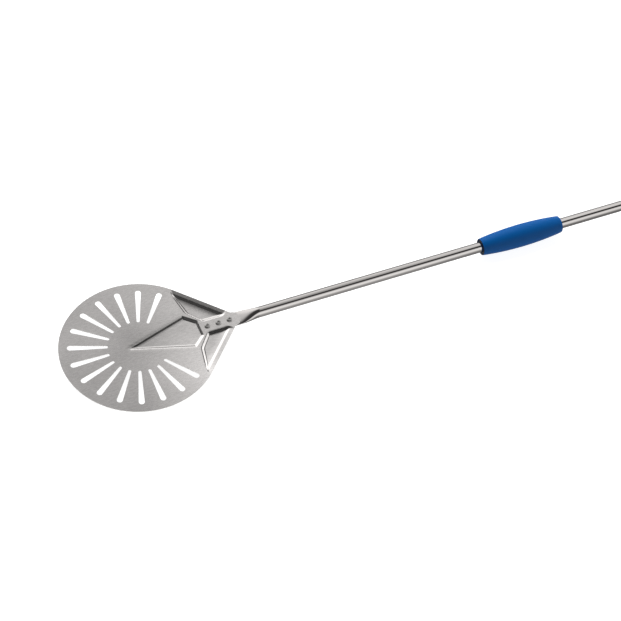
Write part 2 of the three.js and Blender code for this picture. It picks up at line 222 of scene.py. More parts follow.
def turned(name, profile, sides, start=(0, 0, 0)):
    """A piece turned about a line along X through start. Profile points are (distance, radius).

    A profile runs from the axis to the axis, or else it is closed into a ring.
    """
    points, faces, rings = [], [], []
    for along, radius in profile:
        if radius == 0:
            rings.append([len(points)])
            points.append((start[0] + along, start[1], start[2]))
            continue
        rings.append(list(range(len(points), len(points) + sides)))
        for i in range(sides):
            a = 2 * math.pi * i / sides
            points.append(
                (
                    start[0] + along,
                    start[1] + radius * math.cos(a),
                    start[2] + radius * math.sin(a),
                )
            )
    for ring, following in zip(rings, rings[1:]):
        for i in range(sides):
            j = (i + 1) % sides
            if len(ring) == 1:
                faces.append((ring[0], following[i], following[j]))
            elif len(following) == 1:
                faces.append((ring[i], following[0], ring[j]))
            else:
                faces.append((ring[i], following[i], following[j], ring[j]))
    if len(rings[0]) > 1:
        first, last = rings[0], rings[-1]
        for i in range(sides):
            j = (i + 1) % sides
            faces.append((last[i], first[i], first[j], last[j]))
    return mesh_piece(name, points, faces)


def superellipse(x, half_width, half_height, squareness, sides):
    """A ring across the tube's axis; a squareness of 2 is an ellipse, more is squarer."""
    ring = []
    for i in range(sides):
        a = 2 * math.pi * i / sides
        c, s = math.cos(a), math.sin(a)
        y = half_width * math.copysign(abs(c) ** (2 / squareness), c)
        z = half_height * math.copysign(abs(s) ** (2 / squareness), s)
        ring.append((x, y, TUBE_Z + z))
    return ring


def lofted(name, rings):
    """A piece through a chain of rings with the same number of points, capped at both ends."""
    sides = len(rings[0])
    last = (len(rings) - 1) * sides
    faces = []
    for start in range(0, last, sides):
        for i in range(sides):
            a, b = start + i, start + (i + 1) % sides
            faces.append((a, b, b + sides, a + sides))
    faces += [tuple(range(sides)), tuple(range(last, last + sides))]
    return mesh_piece(name, [point for ring in rings for point in ring], faces)


# ---- blade shape ----


def shoulder_point(along, inward):
    """A point given by its distance along the straight shoulder and in from it."""
    reach = DISC_R - inward
    return (
        reach * math.cos(SHOULDER_ANGLE) + along * math.sin(SHOULDER_ANGLE),
        reach * math.sin(SHOULDER_ANGLE) - along * math.cos(SHOULDER_ANGLE),
    )


def tail_angle():
    """Angle on the tail's circle at which the straight shoulder runs into it."""
    offset = DISC_R - TAIL_X * math.cos(SHOULDER_ANGLE)
    return SHOULDER_ANGLE + math.acos(offset / TAIL_R)


def blade_outline(pitch):
    tail = tail_angle()
    disc = arc(0, 0, DISC_R, SHOULDER_ANGLE, 2 * math.pi - SHOULDER_ANGLE, steps=320)
    tail_end = arc(TAIL_X, 0, TAIL_R, -tail, tail, steps=30)
    return without_doubles(
        np.vstack(
            [
                disc,
                spaced(disc[-1], tail_end[0], pitch),
                tail_end,
                spaced(tail_end[-1], disc[0], pitch),
            ]
        )
    )


def slot_outline(direction, pitch):
    """A tapered slot with round ends, anticlockwise, along a direction from the disc's centre."""
    near = SLOT_NEAR_X + SLOT_NEAR_R
    far = SLOT_FAR_X - SLOT_FAR_R
    flank = math.pi - math.acos((SLOT_FAR_R - SLOT_NEAR_R) / (far - near))
    far_end = arc(far, 0, SLOT_FAR_R, -flank, flank, steps=20)
    near_end = arc(near, 0, SLOT_NEAR_R, flank, 2 * math.pi - flank, steps=12)
    outline = np.vstack(
        [
            far_end,
            spaced(far_end[-1], near_end[0], pitch),
            near_end,
            spaced(near_end[-1], far_end[0], pitch),
        ]
    )
    cos, sin = math.cos(direction), math.sin(direction)
    return without_doubles(outline @ np.array([[cos, sin], [-sin, cos]]))


def slot_directions():
    middle = (SLOT_COUNT - 1) / 2
    return [math.pi + (i - middle) * SLOT_PITCH for i in range(SLOT_COUNT)]


def rivet_centres():
    return [sum(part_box(f"rivet_{i}"), Vector()) / 2 for i in (1, 2, 3)]


def kite_outline():
    """The middle of the kite's wall, anticlockwise."""
    return np.array(
        [
            (KITE_TIP_X, 0),
            (KITE_WIDE[0], -KITE_WIDE[1]),
            (KITE_REAR[0], -KITE_REAR[1]),
            KITE_REAR,
            KITE_WIDE,
        ]
    )


def pan_outline():
    """The middle of the +Y pan's wall, anticlockwise, ending with its side on the shoulder."""
    return np.array(
        [
            PAN_APEX,
            PAN_KNEE,
            (PAN_LAND_X, LAND_HALF),
            (PAN_END_X, LAND_HALF),
            shoulder_point(FLANGE_LENGTH, 0),
            shoulder_point(0, 0),
        ]
    )


def way_down(sides, widths, corner):
    """How far down the walls of a dent each point is: 0 at the rim, 1 at the floor.

    Sides with no wall have None for a width. Neighbouring walls meet in a rounded corner.
    """
    shares = [sides[:, i] / width + 0.5 for i, width in enumerate(widths) if width is not None]
    nearest = shares[0]
    for share in shares[1:]:
        nearest = soft_min(nearest, share, corner)
    return nearest


def kite_depth(points):
    walls = way_down(side_distances(points, kite_outline()), KITE_WALLS, KITE_CORNER)
    return KITE_DEPTH * smoothstep(walls)


def flange_depth(from_edge):
    """Depth at a distance in from the shoulder's edge: the slopes added up."""
    places = np.linspace(0, FLANGE_SLOPES[-1][0] * MM, 200)
    at = [place * MM for place, _ in FLANGE_SLOPES]
    slopes = np.interp(places, at, [slope for _, slope in FLANGE_SLOPES])
    steps = (slopes[1:] + slopes[:-1]) / 2 * np.diff(places)
    return np.interp(from_edge, places, np.concatenate([[0], np.cumsum(steps)]))


def pan_depth(points):
    """Depth of the +Y pan; points on the other side are mirrored first."""
    points = np.column_stack([points[:, 0], np.abs(points[:, 1])])
    sides = side_distances(points, pan_outline())
    from_edge = sides[:, FLANGE_SIDE]
    walls = way_down(sides, PAN_WALLS, PAN_CORNER)
    depth = soft_min(PAN_DEPTH * smoothstep(walls), flange_depth(from_edge), FLANGE_MEETS_WALL)
    return np.where((walls > 0) & (from_edge > 0), np.clip(depth, 0, None), 0)


def blade_height(points):
    return -np.maximum(kite_depth(points), pan_depth(points))


def grid_points(outline, pitch):
    """A triangular grid of points inside an outline."""
    low, high = outline.min(axis=0), outline.max(axis=0)
    rows = np.arange(low[1], high[1], pitch * math.sqrt(0.75))
    points = []
    for number, y in enumerate(rows):
        xs = np.arange(low[0] + (number % 2) * pitch / 2, high[0], pitch)
        points.append(np.column_stack([xs, np.full(len(xs), y)]))
    points = np.vstack(points)
    return points[inside(points, outline)]


def grown(polygon, distance):
    """A convex polygon with its sides moved outwards."""
    polygon = np.asarray(polygon)
    centre = polygon.mean(axis=0)
    away = polygon - centre
    return polygon + away / np.linalg.norm(away, axis=1)[:, None] * distance


def clear_of(points, outlines, gap):
    """Points at least a gap away from every point of some outlines."""
    keep = np.ones(len(points), bool)
    for outline in outlines:
        low, high = outline.min(axis=0) - gap, outline.max(axis=0) + gap
        near = np.where(((points >= low) & (points <= high)).all(axis=1))[0]
        if len(near):
            away = np.linalg.norm(points[near, None] - outline[None], axis=2).min(axis=1)
            keep[near[away < gap]] = False
    return points[keep]


def blade_points(outline, holes):
    """Points inside the blade: fine over the pressed shapes, coarse on the flat sheet.

    They keep about half a pitch away from the points of the outlines.
    """
    coarse, fine = 3.0 * MM, 0.75 * MM
    flat = clear_of(grid_points(outline, coarse), [outline, *holes], 0.45 * coarse)
    kite = grown(kite_outline(), KITE_MARGIN)
    pan = grown(pan_outline(), PAN_MARGIN)
    pressed, taken = [], []
    for shape in (kite, pan, pan[::-1] * (1, -1)):
        dense = grid_points(shape, fine)
        dense = dense[inside(dense, outline)]
        for other in taken:
            dense = dense[~inside(dense, other)]
        taken.append(shape)
        pressed.append(clear_of(dense, [outline, *holes], 0.6 * fine))
        flat = flat[~inside(flat, shape)]
    return np.vstack([flat, *pressed])


def closed_edges(start, count):
    return [(start + i, start + (i + 1) % count) for i in range(count)]


def make_blade():
    """The pressed sheet: a flat mesh of its outline, moved down into the dents, made solid."""
    pitch = 2.0 * MM
    outline = blade_outline(pitch / 2)
    holes = [slot_outline(direction, pitch) for direction in slot_directions()]
    holes += [arc(c.x, 0, RIVET_HOLE_R, 0, 2 * math.pi, steps=24)[:-1] for c in rivet_centres()]

    loops = [outline, *holes]
    edges, count = [], 0
    for loop in loops:
        edges += closed_edges(count, len(loop))
        count += len(loop)
    flat_points = np.vstack([*loops, blade_points(outline, holes)])
    points, _, triangles, *_ = delaunay_2d_cdt(
        [Vector(p) for p in flat_points], edges, [], 0, SAME_POINT
    )
    points = np.array([tuple(p) for p in points])
    triangles = np.array([tuple(t) for t in triangles])
    centres = points[triangles].mean(axis=1)
    kept = inside(centres, outline)
    for hole in holes:
        kept &= ~inside(centres, hole)
    triangles = triangles[kept]

    heights = blade_height(points)
    top = np.column_stack([points, heights])
    below = np.column_stack([points, heights - SHEET])
    edge_uses = Counter(
        tuple(sorted(edge)) for a, b, c in triangles.tolist() for edge in ((a, b), (b, c), (c, a))
    )
    shift = len(points)
    faces = triangles.tolist() + (triangles[:, ::-1] + shift).tolist()
    faces += [(a, b, b + shift, a + shift) for (a, b), uses in edge_uses.items() if uses == 1]
    blade = mesh_piece("blade_sheet", np.vstack([top, below]), faces)
    work = bmesh.new()
    work.from_mesh(blade.data)
    loose = [v for v in work.verts if not v.link_faces]
    bmesh.ops.delete(work, geom=loose, context="VERTS")
    work.to_mesh(blade.data)
    work.free()
    bevel_sharp_edges(blade, angle=math.radians(60), width=0.12 * MM)
    return blade


# ---- tube ----


def tube_section(x):
    """Half width, half height and squareness of the tube at a place along X."""
    roundness = smoothstep((x - FLAT_END_X) / (ROUND_START_X - FLAT_END_X))
    half_width = FLAT_HALF_WIDTH + (TUBE_R - FLAT_HALF_WIDTH) * roundness
    half_height = FLAT_HALF_HEIGHT + (TUBE_R - FLAT_HALF_HEIGHT) * roundness**NECK_RISE
    squareness = FLAT_SQUARENESS + (2 - FLAT_SQUARENESS) * math.sqrt(roundness)
    return half_width, half_height, squareness


def tube_ring(x, wall):
    half_width, half_height, squareness = tube_section(x)
    return superellipse(x, half_width - wall, half_height - wall, squareness, sides=96)


def make_tube():
    """The tube: its outside from the blade to the hand end, then its bore back into the neck."""
    neck = list(np.linspace(FLAT_END_X, ROUND_START_X, 29))
    bore_start = FLAT_END_X + (ROUND_START_X - FLAT_END_X) / 3
    inner_neck = list(np.linspace(bore_start, ROUND_START_X, 20))
    shaft = list(np.linspace(ROUND_START_X, tube_high.x, 30))[1:]
    outside = [tube_low.x, *neck, *shaft]
    within = [*inner_neck, *shaft][::-1]
    rings = [tube_ring(x, 0) for x in outside]
    rings += [tube_ring(x, TUBE_WALL) for x in within]
    tube = lofted("tube_shaft", rings)
    bevel_sharp_edges(tube, angle=math.radians(60), width=0.15 * MM)
    return tube


# ---- rivets ----

RIVET_GAP = 0.05 * MM           # between the rivet's heads and what they hold
RIVET_SHANK_R = 2.0 * MM
RIVET_FLANK = 0.12              # steep part of the head's side, as a share of its height
RIVET_FOOT = 0.97               # radius of the head's foot, as a share of the head's
RIVET_CROWN = 0.5               # radius of the top of the dome, as a share of the head's
# Distances and radii in mm: the set head up from its lowest point, the upper rim of the set head
# down from its top, and the mandrel hole down from the top of the head.
RIVET_SET_HEAD = ((0, 0), (0.05, 1.2), (0.4, 2.2), (1.0, 2.9))
RIVET_SET_RIM = ((0.3, 2.9), (0, 2.6))
RIVET_MANDREL_HOLE = ((0.12, 1.62), (0.5, 1.42), (1.25, 1.36), (1.45, 1.1), (1.42, 0.7), (1.5, 0))


def make_rivet(number):
    """A blind rivet: domed head with a dimple on the sheet and a set head under the tube."""
    low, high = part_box(f"rivet_{number}")
    centre = (low + high) / 2
    radius = (high.x - low.x) / 2
    top = high.z
    height = top - RIVET_GAP
    set_top = TUBE_Z - FLAT_HALF_HEIGHT - RIVET_GAP
    profile = [(low.z + rise * MM, reach * MM) for rise, reach in RIVET_SET_HEAD]
    profile += [(set_top - drop * MM, reach * MM) for drop, reach in RIVET_SET_RIM]
    profile += [
        (set_top, RIVET_SHANK_R),
        (RIVET_GAP, RIVET_SHANK_R),
        (RIVET_GAP, radius * RIVET_FOOT),
        (RIVET_GAP + RIVET_FLANK * height, radius),
    ]
    dome_steps = 10
    for i in range(1, dome_steps + 1):
        a = math.pi / 2 * i / dome_steps
        along = RIVET_GAP + height * (RIVET_FLANK + (1 - RIVET_FLANK) * math.sin(a))
        profile.append((along, radius * (RIVET_CROWN + (1 - RIVET_CROWN) * math.cos(a))))
    profile += [(top - drop * MM, reach * MM) for drop, reach in RIVET_MANDREL_HOLE]
    rivet = turned(f"rivet_head_{number}", profile, sides=48)
    rivet.data.transform(Matrix.Translation((centre.x, centre.y, 0)) @ UPRIGHT)
    return rivet


# ---- grips ----

GRIP_END_R = 11.3 * MM
GRIP_BORE_R = 9.7 * MM
GRIP_EDGE = 1.0 * MM            # rounding of the grips' rims
RUNNING_GAP = 0.15 * MM         # between the tube and what is round it

BUSH_CHAMFER = 0.6 * MM
# A point of the rounded chamfer: how far in from the end face and from the bore or the outside.
BUSH_BORE_CORNER = (0.15 * MM, 0.35 * MM)
BUSH_OUTER_CORNER = (0.15 * MM, 0.2 * MM)

TAB_HALF_HEIGHT = 4.0 * MM
TAB_HALF_WIDTH = 10.5 * MM
TAB_SQUARENESS = 3.6            # superellipse power of the tab; 2 is an ellipse
HANG_HOLE_R = 5.0 * MM
BARREL_ENDS = 22 * MM           # distance from the tip of the end grip to the end of its bulge
FLATTENING_STARTS = 42 * MM     # distance from the tip to where the barrel starts to flatten
FLATTENING_LENGTH = 26 * MM
TIP_ROUNDS_FROM = 0.82          # share of the tab's round end after which its faces round off
TIP_BLUNTNESS = 0.02            # share of the tab's height left at the very tip


def rounded_rim(end_radius):
    """A quarter turn from a grip's end face onto its side, as (distance, radius)."""
    steps = 6
    rim = []
    for i in range(steps + 1):
        a = math.pi / 2 * i / steps
        rim.append((GRIP_EDGE * (1 - math.cos(a)), end_radius - GRIP_EDGE * (1 - math.sin(a))))
    return rim


def barrel_profile(length, end_radius, middle_radius, steps):
    """Outer line of a barrel grip from rim to rim, with rounded rims, as (distance, radius)."""
    rim = rounded_rim(end_radius)
    profile = list(rim)
    for i in range(1, steps):
        along = GRIP_EDGE + (length - 2 * GRIP_EDGE) * i / steps
        bulge = 1 - (2 * along / length - 1) ** 2
        profile.append((along, end_radius + (middle_radius - end_radius) * bulge))
    return profile + [(length - along, radius) for along, radius in reversed(rim)]


def make_sliding_grip():
    low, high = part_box("sliding_grip")
    length = high.x - low.x
    middle_radius = (high.z - low.z) / 2
    outer = barrel_profile(length, GRIP_END_R, middle_radius, steps=48)
    bore = [(length, GRIP_BORE_R), (0, GRIP_BORE_R)]
    return turned("grip_sleeve_shell", outer + bore, sides=128, start=(low.x, 0, TUBE_Z))


def make_bush(name, node):
    low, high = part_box(node)
    length = high.x - low.x
    outer = (high.z - low.z) / 2
    inner = TUBE_R + RUNNING_GAP
    near_end = [
        (BUSH_CHAMFER, inner),
        (BUSH_BORE_CORNER[0], inner + BUSH_BORE_CORNER[1]),
        (0, inner + BUSH_CHAMFER),
        (0, outer - BUSH_CHAMFER),
        (BUSH_OUTER_CORNER[0], outer - BUSH_OUTER_CORNER[1]),
        (BUSH_CHAMFER, outer),
    ]
    far_end = [(length - along, radius) for along, radius in reversed(near_end)]
    return turned(name, near_end + far_end, sides=96, start=(low.x, 0, TUBE_Z))


def end_grip_section(along, length, middle_radius):
    """Half width, half height and squareness of the end grip at a distance from its front."""
    share = along / (length - BARREL_ENDS)
    bulge = 1 - (2 * min(share, 1) - 1) ** 2
    round_radius = GRIP_END_R + (middle_radius - GRIP_END_R) * bulge
    flatness = smoothstep((along - (length - FLATTENING_STARTS)) / FLATTENING_LENGTH)
    half_height = round_radius + (TAB_HALF_HEIGHT - round_radius) * flatness
    half_width = round_radius + (TAB_HALF_WIDTH - round_radius) * flatness
    squareness = 2 + (TAB_SQUARENESS - 2) * flatness
    return half_width, half_height, squareness


def end_grip_sections(length, bore_depth, middle_radius):
    """The end grip's sections as (distance, half width, half height, squareness).

    They run from the bottom of the bore out to the front, then over the barrel to the tip.
    """
    bore_radius = TUBE_R + RUNNING_GAP
    sections = [(bore_depth, bore_radius, bore_radius, 2), (0, bore_radius, bore_radius, 2)]
    sections += [(along, radius, radius, 2) for along, radius in rounded_rim(GRIP_END_R)]
    tab_centre = length - TAB_HALF_WIDTH
    for along in np.linspace(GRIP_EDGE, tab_centre, 80)[1:]:
        sections.append((along, *end_grip_section(along, length, middle_radius)))
    tip_steps = 16
    for i in range(1, tip_steps):
        a = math.pi / 2 * i / tip_steps
        rounding = max(0, math.sin(a) - TIP_ROUNDS_FROM) / (1 - TIP_ROUNDS_FROM)
        half_height = TAB_HALF_HEIGHT * min(1, math.sqrt(1 - rounding**2) + TIP_BLUNTNESS)
        along = tab_centre + TAB_HALF_WIDTH * math.sin(a)
        sections.append((along, TAB_HALF_WIDTH * math.cos(a), half_height, TAB_SQUARENESS))
    return sections


def drill(piece, radius, x):
    """Cuts an upright round hole through a piece on the tube's axis."""
    reach = 20 * MM
    profile = [(-reach, 0), (-reach, radius), (reach, radius), (reach, 0)]
    cutter = turned("hole_cutter", profile, sides=64)
    cutter.data.transform(Matrix.Translation((x, 0, TUBE_Z)) @ UPRIGHT)
    cut = piece.modifiers.new("hole", "BOOLEAN")
    cut.object = cutter
    cut.solver = "EXACT"
    bpy.context.view_layer.update()
    evaluated = piece.evaluated_get(bpy.context.evaluated_depsgraph_get())
    mesh = bpy.data.meshes.new_from_object(evaluated)
    piece.modifiers.clear()
    piece.data = mesh
    bpy.data.objects.remove(cutter)


def make_end_grip():
    low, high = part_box("end_grip")
    length = high.x - low.x
    middle_radius = (high.z - low.z) / 2
    sections = end_grip_sections(length, tube_high.x - low.x, middle_radius)
    rings = [superellipse(low.x + along, *section, sides=96) for along, *section in sections]
    grip = lofted("end_grip_body", rings)
    drill(grip, HANG_HOLE_R, low.x + length - TAB_HALF_WIDTH)
    bevel_sharp_edges(grip, angle=math.radians(50), width=0.6 * MM, segments=3)
    return grip


# ---- materials ----

WHITE = (1, 1, 1, 1)
BLACK = (0, 0, 0, 1)
STEEL_WHITE = (1.0, 0.982, 0.975, 1)
CUT_STEEL = (0.88, 0.87, 0.86, 1)
TUBE_GREYS = ((0.64, 0.62, 0.61, 1), (0.68, 0.665, 0.655, 1))
RIVET_GREYS = ((0.38, 0.375, 0.37, 1), (0.50, 0.495, 0.49, 1))
GRIP_BLUES = ((0.0010, 0.057, 0.205, 1), (0.0014, 0.064, 0.228, 1))
BUSH_BLACKS = ((0.006, 0.007, 0.011, 1), (0.011, 0.012, 0.017, 1))
SLEEVE_END_SHADE = (0.002, 0.004, 0.012, 1)   # painted shade on the end faces of the sliding grip, which face away from the light

# Sockets of a colour mix node, whose names are shared with its number and vector sockets.
MIX_FACTOR, MIX_A, MIX_B, MIX_RESULT = 0, 6, 7, 2


class Nodes:
    """Short way of adding and joining shader nodes."""

    def __init__(self, tree):
        self.tree = tree

    def add(self, kind, inputs=None, **settings):
        node = self.tree.nodes.new(kind)
        for key, value in settings.items():
            setattr(node, key, value)
        for key, value in (inputs or {}).items():
            if isinstance(value, bpy.types.NodeSocket):
                self.tree.links.new(value, node.inputs[key])
            else:
                node.inputs[key].default_value = value
        return node

    def math(self, operation, a, b=0.0):
        return self.add("ShaderNodeMath", {0: a, 1: b}, operation=operation).outputs[0]

    def position(self, scale=(1, 1, 1)):
        """Object coordinates, stretched."""
        coordinates = self.add("ShaderNodeTexCoord").outputs["Object"]
        mapping = self.add("ShaderNodeMapping", {"Vector": coordinates, "Scale": scale})
        return mapping.outputs["Vector"]

    def noise(self, vector, scale, detail=2.0, roughness=0.5):
        node = self.add(
            "ShaderNodeTexNoise",
            {"Vector": vector, "Scale": scale, "Detail": detail, "Roughness": roughness},
        )
        return node.outputs["Fac"]

    def normal(self):
        return self.add("ShaderNodeTexCoord").outputs["Normal"]

    def parts(self, vector):
        return self.add("ShaderNodeSeparateXYZ", {"Vector": vector}).outputs[:]

    def length(self, vector):
        node = self.add("ShaderNodeVectorMath", {0: vector}, operation="LENGTH")
        return node.outputs["Value"]

    def between(self, factor, low, high, source=(0, 1)):
        """A number in a source range turned into one in another range, and kept within it."""
        node = self.add(
            "ShaderNodeMapRange",
            {
                "Value": factor,
                "From Min": source[0],
                "From Max": source[1],
                "To Min": low,
                "To Max": high,
            },
        )
        return node.outputs["Result"]

    def product(self, *factors):
        result = factors[0]
        for factor in factors[1:]:
            result = self.math("MULTIPLY", result, factor)
        return result

    def mix(self, factor, a, b):
        """A blend of two colours."""
        inputs = {MIX_FACTOR: factor, MIX_A: a, MIX_B: b}
        return self.add("ShaderNodeMix", inputs, data_type="RGBA").outputs[MIX_RESULT]

    def bump(self, height, strength, distance):
        inputs = {"Height": height, "Strength": strength, "Distance": distance}
        return self.add("ShaderNodeBump", inputs).outputs["Normal"]


class MaterialNodes(Nodes):
    """The nodes of a new material."""

    def __init__(self, name):
        self.material = bpy.data.materials.new(name)
        self.material.use_nodes = True
        super().__init__(self.material.node_tree)
        self.shader = self.tree.nodes["Principled BSDF"]

    def set(self, **sockets):
        """Links or sets the shader's sockets, given by name with _ for a space."""
        for name, value in sockets.items():
            socket = self.shader.inputs[name.replace("_", " ")]
            if isinstance(value, bpy.types.NodeSocket):
                self.tree.links.new(value, socket)
            else:
                socket.default_value = value


def blade_steel():
    """Satin stainless sheet with fine grain and bare cut edges, coloured lighter towards the
    handle as a painted reflection.
    """
    n = MaterialNodes("blade_steel_satin")
    place = n.position()
    x, y, _ = n.parts(place)
    from_middle = n.math("ABSOLUTE", y)
    facing_x, facing_y, facing_z = n.parts(n.normal())
    level = n.math("ABSOLUTE", facing_z)
    grain = n.noise(n.position((180, 420, 300)), scale=1.0, detail=3, roughness=0.65)
    clouds = n.noise(place, scale=18.0)

    # Painted reflection and shade: the sheet's colour is made lighter towards the handle and at
    # the near corner of the disc, and darker round its centre.
    painted_light_towards_handle = n.math(
        "ADD", n.between(x, 0, 0.12, (0, 0.07)), n.between(x, 0, 0.07, (0.105, 0.125))
    )
    painted_corner_highlight = n.product(
        n.between(y, 1, 0, (-0.06, 0.01)),
        n.between(x, 0, 1, (-0.03, 0.06)),
        n.between(x, 0.26, 0, (0.066, 0.088)),
    )
    # Painted shade: darker round the centre of the disc.
    middle = n.between(n.length(place), -0.05, 0, (0.012, 0.05))
    light = n.math("ADD", n.math("ADD", painted_light_towards_handle, painted_corner_highlight), middle)
    light = n.math("ADD", light, n.between(clouds, 0.455, 0.525, (0.3, 0.7)))
    light = n.product(light, n.between(grain, 0.90, 1.10, (0.3, 0.7)))

    # Painted highlight: walls that face the far side are coloured brighter, standing in for a
    # reflection. Painted shade: the step down into the pans is darkened along its bends, where the
    # sheet starts to tilt.
    painted_wall_highlight = n.between(facing_y, 1.0, 2.2, (0.1, 0.28))
    towards_hand = n.math("SUBTRACT", facing_x, n.math("ABSOLUTE", facing_y))
    painted_bend_shade = n.product(
        n.between(towards_hand, 0, 1, (0, 0.03)),
        n.between(x, 0, 1, (0.03, 0.05)),
        n.between(from_middle, 1, 0, (0.054, 0.06)),
        n.between(level, 0, 0.75, (0.84, 0.92)),
    )
    light = n.product(light, n.math("SUBTRACT", painted_wall_highlight, painted_bend_shade))

    # Cut edges stand upright. They are paler and duller than the face of the sheet.
    cut = n.between(level, 1, 0, (0.3, 0.6))
    tint = n.mix(light, BLACK, STEEL_WHITE)
    n.set(
        Base_Color=n.mix(cut, tint, CUT_STEEL),
        Metallic=n.math("SUBTRACT", 1.0, n.product(cut, 0.8)),
        Roughness=n.math("ADD", n.between(grain, 0.13, 0.2), n.product(cut, 0.4)),
        Normal=n.bump(grain, strength=0.05, distance=0.2 * MM),
    )
    return n.material


def tube_steel():
    """Drawn and polished stainless tube: fine lines along X."""
    n = MaterialNodes("tube_steel_polished")
    lines = n.noise(n.position((8, 1400, 1400)), scale=1.0, detail=3, roughness=0.6)
    clouds = n.noise(n.position((3, 20, 20)), scale=3.0)
    n.set(
        Base_Color=n.mix(clouds, *TUBE_GREYS),
        Metallic=1.0,
        Roughness=n.between(lines, 0.05, 0.1),
        Normal=n.bump(lines, strength=0.02, distance=0.2 * MM),
    )
    return n.material


def rivet_steel():
    """Duller steel than the tube's, with the marks of the riveting."""
    n = MaterialNodes("rivet_steel")
    marks = n.noise(n.position(), scale=900.0, detail=3, roughness=0.6)
    n.set(
        Base_Color=n.mix(marks, *RIVET_GREYS),
        Metallic=1.0,
        Roughness=n.between(marks, 0.16, 0.28),
        Normal=n.bump(marks, strength=0.06, distance=0.1 * MM),
    )
    return n.material


def blue_polymer(name, ends=None):
    """Moulded blue polymer, semi-matte, finely textured.

    Faces that look along X take the colour given as ends: painted shade on the end faces.
    """
    n = MaterialNodes(name)
    texture = n.noise(n.position(), scale=1600.0)
    clouds = n.noise(n.position(), scale=30.0, detail=3)
    colour = n.mix(clouds, *GRIP_BLUES)
    # Painted shade: the end faces are darkened as if they stood in shade.
    if ends is not None:
        end_shade_mask = n.between(n.math("ABSOLUTE", n.parts(n.normal())[0]), 0, 1, (0.6, 0.85))
        colour = n.mix(end_shade_mask, colour, ends)
    n.set(
        Base_Color=colour,
        Metallic=0.0,
        Roughness=n.between(clouds, 0.36, 0.44),
        Specular_IOR_Level=0.1,
        Normal=n.bump(texture, strength=0.12, distance=0.2 * MM),
    )
    return n.material


def black_polymer():
    """Moulded black polymer, matte, finely textured."""
    n = MaterialNodes("black_polymer_moulded")
    texture = n.noise(n.position(), scale=1800.0)
    clouds = n.noise(n.position(), scale=60.0, detail=3)
    n.set(
        Base_Color=n.mix(clouds, *BUSH_BLACKS),
        Metallic=0.0,
        Roughness=n.between(clouds, 0.42, 0.55),
        Normal=n.bump(texture, strength=0.12, distance=0.2 * MM),
    )
    return n.material


# ---- pieces on their bodies ----


def dress(piece, body, node, material):
    """Gives a piece its material, puts it on its body and hides the part of the model that it
    stands for.
    """
    piece.data.materials.clear()
    piece.data.materials.append(material)
    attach(piece, body)
    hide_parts(node)


def make_peel():
    blade_look = blade_steel()
    tube_look = tube_steel()
    rivet_look = rivet_steel()
    blue_look = blue_polymer("blue_polymer_moulded")
    # The sleeve's end faces get painted shade.
    sleeve_look = blue_polymer("blue_polymer_sleeve", SLEEVE_END_SHADE)
    black_look = black_polymer()
    dress(make_blade(), "root", "blade", blade_look)
    dress(make_tube(), "root", "handle_tube", tube_look)
    for number in (1, 2, 3):
        dress(make_rivet(number), "root", f"rivet_{number}", rivet_look)
    dress(make_end_grip(), "root", "end_grip", blue_look)
    dress(make_sliding_grip(), "grip_sleeve", "sliding_grip", sleeve_look)
    for name, node in (("bush_front", "front_bush"), ("bush_rear", "rear_bush")):
        dress(make_bush(name, node), "grip_bushes", node, black_look)


# ---- camera, floor and light ----

# The camera of the photo, fitted to the blade's outline, its slots and the tube.
VIEW_TARGET = Vector((0.22513, -0.02214, 0.0))
VIEW_DISTANCE = 2.5572
VIEW_AZIMUTH = math.radians(27.336)     # from +Y towards +X
VIEW_ELEVATION = math.radians(51.905)   # looking down
VIEW_ROLL = math.radians(5.675)
LENS_MM = 115.94
SENSOR_MM = 36.0

FLOOR_CENTRE_X = 0.5
FLOOR_GAP = 0.2 * MM                    # between the peel's lowest point and the floor
STAGE_R = 12.0                          # radius of the floor and of the backdrop
FLOOR_GREY = (0.35, 0.35, 0.35, 1)


def make_camera():
    data = bpy.data.cameras.new("camera")
    data.lens = LENS_MM
    data.sensor_width = SENSOR_MM
    data.clip_start = 0.01
    data.clip_end = 100
    camera = bpy.data.objects.new("camera", data)
    bpy.context.scene.collection.objects.link(camera)
    forward = Vector(
        (
            math.sin(VIEW_AZIMUTH) * math.cos(VIEW_ELEVATION),
            math.cos(VIEW_AZIMUTH) * math.cos(VIEW_ELEVATION),
            -math.sin(VIEW_ELEVATION),
        )
    )
    level = forward.to_track_quat("-Z", "Y").to_matrix().to_4x4()
    roll = Matrix.Rotation(VIEW_ROLL, 4, "Z")
    place = Matrix.Translation(VIEW_TARGET - forward * VIEW_DISTANCE)
    camera.matrix_world = place @ level @ roll
    bpy.context.scene.camera = camera


def glowing(name, strength, base_colour):
    """A matte material that gives off white light."""
    material = bpy.data.materials.new(name)
    material.use_nodes = True
    shader = material.node_tree.nodes["Principled BSDF"]
    shader.inputs["Base Color"].default_value = base_colour
    shader.inputs["Roughness"].default_value = 0.9
    shader.inputs["Specular IOR Level"].default_value = 0.0
    shader.inputs["Emission Color"].default_value = WHITE
    shader.inputs["Emission Strength"].default_value = strength
    return material


def make_floor():
    """A glowing white table under the peel, as in a light box. The steel doesn't mirror it."""
    low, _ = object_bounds()
    rim = arc(FLOOR_CENTRE_X, 0, STAGE_R, 0, 2 * math.pi, steps=64)[:-1]
    points = [(x, y, low[2] - FLOOR_GAP) for x, y in rim]
    floor = mesh_piece("floor", points, [tuple(range(len(points)))])
    if floor.data.polygons[0].normal.z < 0:
        floor.data.flip_normals()
    floor.data.materials.append(glowing("light_table", 0.9, FLOOR_GREY))
    floor.visible_glossy = False


def make_backdrop():
    """A white dome round everything, which only the camera sees."""
    angles = [math.pi * i / 24 for i in range(1, 24)]
    belt = [(-STAGE_R * math.cos(a), STAGE_R * math.sin(a)) for a in angles]
    backdrop = turned("backdrop", [(-STAGE_R, 0), *belt, (STAGE_R, 0)], sides=48)
    backdrop.data.transform(UPRIGHT)
    backdrop.data.materials.append(glowing("backdrop_white", 1.0, BLACK))
    backdrop.visible_glossy = False
    backdrop.visible_diffuse = False
    backdrop.visible_shadow = False
    backdrop.visible_transmission = False


